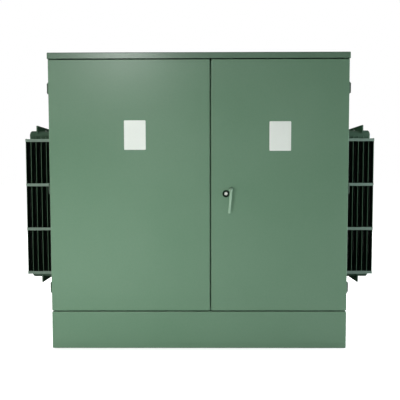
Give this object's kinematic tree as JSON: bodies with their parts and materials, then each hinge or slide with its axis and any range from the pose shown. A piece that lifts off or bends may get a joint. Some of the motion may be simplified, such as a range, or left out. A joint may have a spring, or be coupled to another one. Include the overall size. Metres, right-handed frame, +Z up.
{
  "type": "pad-mounted power transformer",
  "caption": "Pad-mounted three-phase power transformer: a hinged two-door terminal cabinet on an oil tank with banks of panel radiators on both sides.",
  "frame": {"origin": "on the ground, in the middle of the overall length and depth", "axes": "+X to the right along the doors, +Y from the doors to the tank's rear, +Z up"},
  "size_m": [2.619, 1.557, 1.7699],
  "materials": {
    "enclosure_paint": "semi-gloss grey-green enamel",
    "plated_steel": "zinc plated",
    "terminal_metal": "tin plated",
    "valve_brass": "cast, satin",
    "epoxy": "glossy moulded epoxy",
    "gauge_case": "satin black"
  },
  "bodies": {
    "transformer": {"cabinet_left_side": "enclosure_paint", "cabinet_right_side": "enclosure_paint", "cabinet_roof": "enclosure_paint", "cabinet_sill": "enclosure_paint", "cabinet_top_rail": "enclosure_paint", "compartment_barrier": "enclosure_paint", "drain_valve": "valve_brass", "ground_pads": "plated_steel", "hv_bushings": "epoxy", "hv_fuse_holders": "epoxy", "left_front_radiator_headers": "enclosure_paint", "left_front_radiator_panels": "enclosure_paint", "left_front_radiator_straps": "enclosure_paint", "left_hinge_brackets": "enclosure_paint", "left_radiator_ties": "enclosure_paint", "left_rear_radiator_headers": "enclosure_paint", "left_rear_radiator_panels": "enclosure_paint", "left_rear_radiator_straps": "enclosure_paint", "lifting_lugs": "enclosure_paint", "lv_bushings": "epoxy", "lv_spades": "terminal_metal", "right_front_radiator_headers": "enclosure_paint", "right_front_radiator_panels": "enclosure_paint", "right_front_radiator_straps": "enclosure_paint", "right_hinge_brackets": "enclosure_paint", "right_radiator_ties": "enclosure_paint", "right_rear_radiator_headers": "enclosure_paint", "right_rear_radiator_panels": "enclosure_paint", "right_rear_radiator_straps": "enclosure_paint", "tank_body": "enclosure_paint", "tank_cover": "enclosure_paint", "tank_front_plate": "enclosure_paint", "tank_gauges": "gauge_case", "tank_rear_ribs": "enclosure_paint", "tank_skids": "enclosure_paint", "tap_changer": "plated_steel"},
    "left_door": {"left_door_panel": "enclosure_paint", "left_door_stiffeners": "enclosure_paint", "left_door_hinge_leaves": "enclosure_paint"},
    "right_door": {"right_door_panel": "enclosure_paint", "right_door_stiffeners": "enclosure_paint", "right_door_hinge_leaves": "enclosure_paint", "handle_boss": "enclosure_paint", "bolt_cup": "enclosure_paint", "lock_bolt": "plated_steel"},
    "handle": {"handle_lever": "enclosure_paint"}
  },
  "joints": [
    {"name": "left_door_hinge", "type": "hinge", "parent": "transformer", "child": "left_door", "pos_m": [-0.901, -0.6875, 0.967], "axis": [0, 0, -1], "range_deg": [0, 120]},
    {"name": "right_door_hinge", "type": "hinge", "parent": "transformer", "child": "right_door", "pos_m": [0.901, -0.6875, 0.967], "axis": [0, 0, 1], "range_deg": [0, 120]},
    {"name": "handle_turn", "type": "hinge", "parent": "right_door", "child": "handle", "pos_m": [0.191, -0.7315, 0.963], "axis": [0, -1, 0], "range_deg": [0, 90]}
  ]
}
